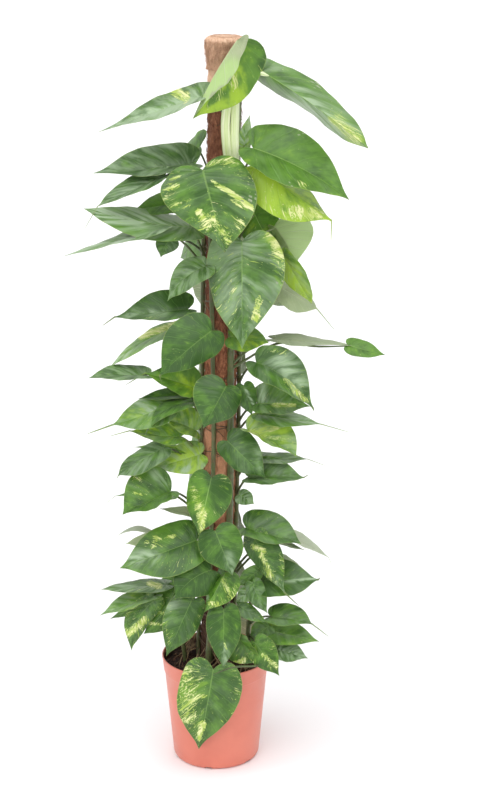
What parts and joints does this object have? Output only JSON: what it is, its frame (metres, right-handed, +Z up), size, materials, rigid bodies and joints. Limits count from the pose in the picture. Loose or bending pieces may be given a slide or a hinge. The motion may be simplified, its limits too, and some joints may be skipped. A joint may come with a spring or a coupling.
{
  "type": "potted golden pothos",
  "caption": "Tall golden pothos with heart-shaped variegated leaves, climbing a coir pole in a round plastic nursery pot.",
  "frame": {"origin": "middle of the pot's flat underside", "axes": "+Z up along the pole, -Y towards the side that the picture shows, +X to the right there"},
  "size_m": [0.6622, 0.3798, 1.6136],
  "materials": {
    "pot": "smooth moulded plastic, satin",
    "soil": "moist peat and coir crumbs, rough",
    "stake": "plain sawn wood",
    "coir": "matted coconut fibre, rough",
    "leaf": "waxy green leaf with cream and lime streaks"
  },
  "bodies": {
    "root": {"pot": "pot", "soil": "soil", "pole_core": "stake", "coir_sleeve": "coir", "coir_cap": "coir", "vine_tall": "leaf", "vine_front": "leaf", "vine_left": "leaf", "vine_right": "leaf", "shoot_left": "leaf", "shoot_front": "leaf", "shoot_right": "leaf", "vine_back_left": "leaf", "vine_back_right": "leaf"}
  },
  "joints": []
}
